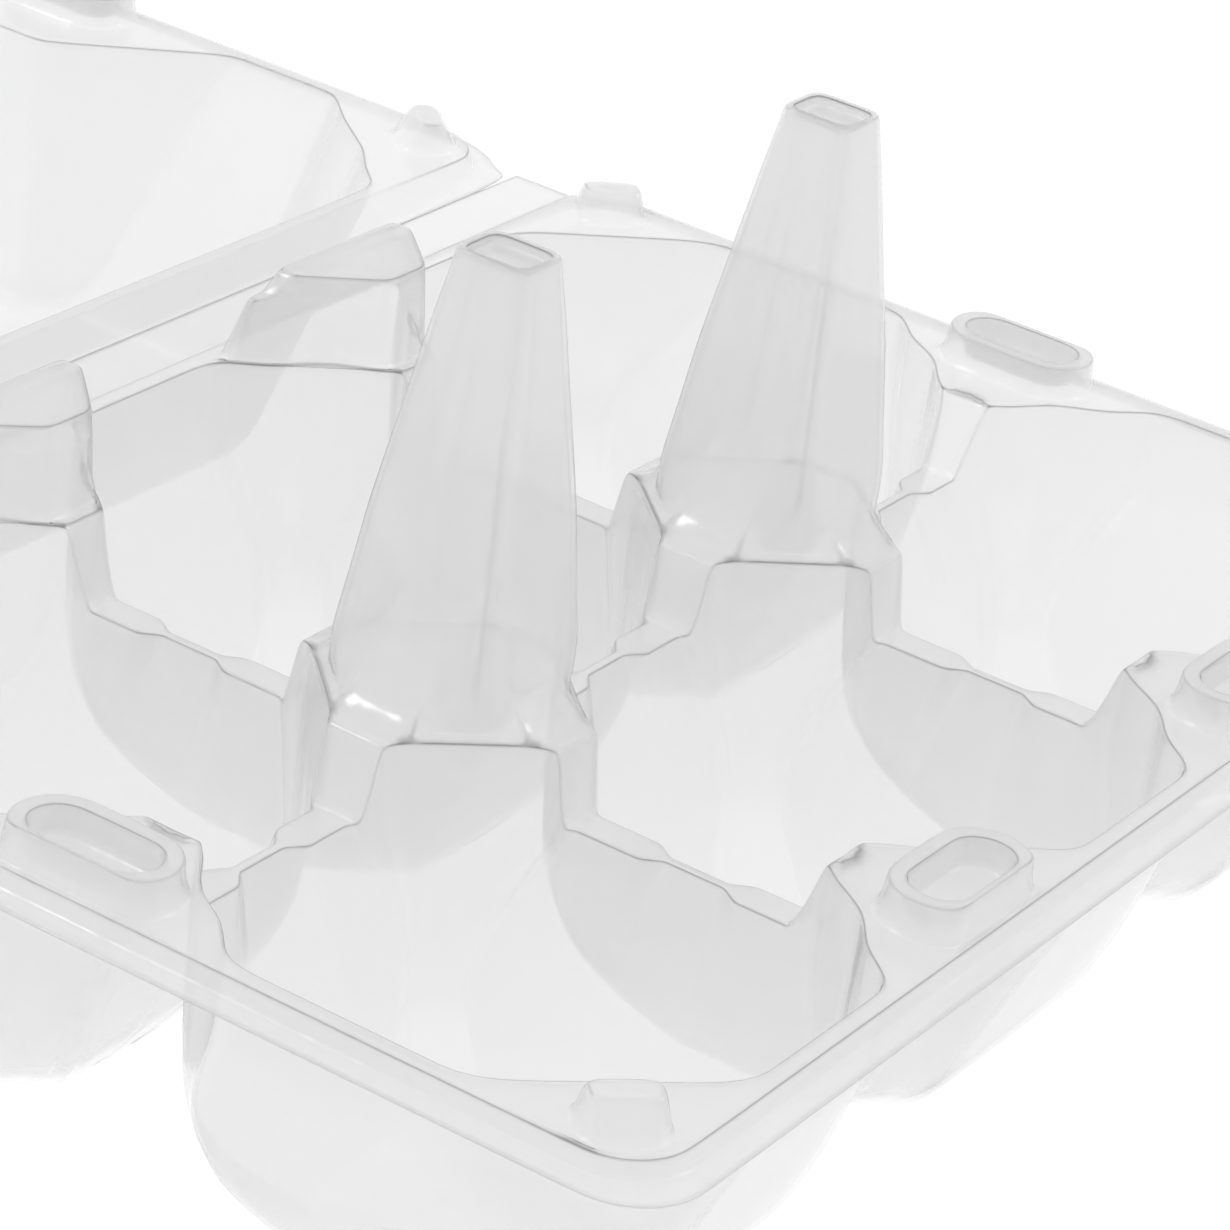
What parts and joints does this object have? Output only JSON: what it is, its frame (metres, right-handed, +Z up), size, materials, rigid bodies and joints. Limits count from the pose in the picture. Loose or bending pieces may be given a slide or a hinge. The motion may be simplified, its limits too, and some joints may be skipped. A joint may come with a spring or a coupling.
{
  "type": "egg carton",
  "caption": "Clear thermoformed clamshell egg carton, opened flat, with a tray of egg cells, a folding hinge strip and a domed lid.",
  "frame": {"origin": "on the table, at the middle of the opened carton's footprint", "axes": "+X along the three cells, +Y from the tray's front edge over the hinge to the lid, +Z up"},
  "size_m": [0.1552, 0.2276, 0.07],
  "materials": {
    "clear_plastic": "clear, glossy formed sheet"
  },
  "bodies": {
    "tray": {"egg_cell_front_left": "clear_plastic", "egg_cell_front_middle": "clear_plastic", "egg_cell_front_right": "clear_plastic", "egg_cell_rear_left": "clear_plastic", "egg_cell_rear_middle": "clear_plastic", "egg_cell_rear_right": "clear_plastic", "tray_flange": "clear_plastic", "tray_lip": "clear_plastic", "divider_front_left": "clear_plastic", "divider_front_right": "clear_plastic", "divider_rear_left": "clear_plastic", "divider_rear_right": "clear_plastic", "divider_end_left": "clear_plastic", "divider_end_right": "clear_plastic", "divider_centre": "clear_plastic", "roof_post_left": "clear_plastic", "roof_post_right": "clear_plastic", "rear_stop_left": "clear_plastic", "rear_stop_right": "clear_plastic", "tower_end_left": "clear_plastic", "tower_end_right": "clear_plastic", "tower_front_left": "clear_plastic", "tower_front_right": "clear_plastic", "peg_front_left": "clear_plastic", "peg_front_right": "clear_plastic", "peg_rear_left": "clear_plastic", "peg_rear_right": "clear_plastic"},
    "hinge": {"hinge_strip": "clear_plastic"},
    "lid": {"lid_wall": "clear_plastic", "lid_roof": "clear_plastic", "lid_flange": "clear_plastic", "lid_lip": "clear_plastic", "lid_riser": "clear_plastic", "lid_tower_end_left": "clear_plastic", "lid_tower_end_right": "clear_plastic", "lid_tower_front_left": "clear_plastic", "lid_tower_front_right": "clear_plastic", "lid_peg_front_left": "clear_plastic", "lid_peg_front_right": "clear_plastic", "lid_peg_rear_left": "clear_plastic", "lid_peg_rear_right": "clear_plastic"}
  },
  "joints": [
    {"name": "hinge_fold", "type": "hinge", "parent": "tray", "child": "hinge", "pos_m": [0, -0.00525, 0.0315], "axis": [1, 0, 0], "range_deg": [0, 90]},
    {"name": "lid_fold", "type": "hinge", "parent": "hinge", "child": "lid", "pos_m": [0, 0.00385, 0.0301], "axis": [1, 0, 0], "range_deg": [0, 90]}
  ],
  "couplings": [
    {"joint": "lid_fold", "follows": "hinge_fold", "ratio": 1}
  ]
}
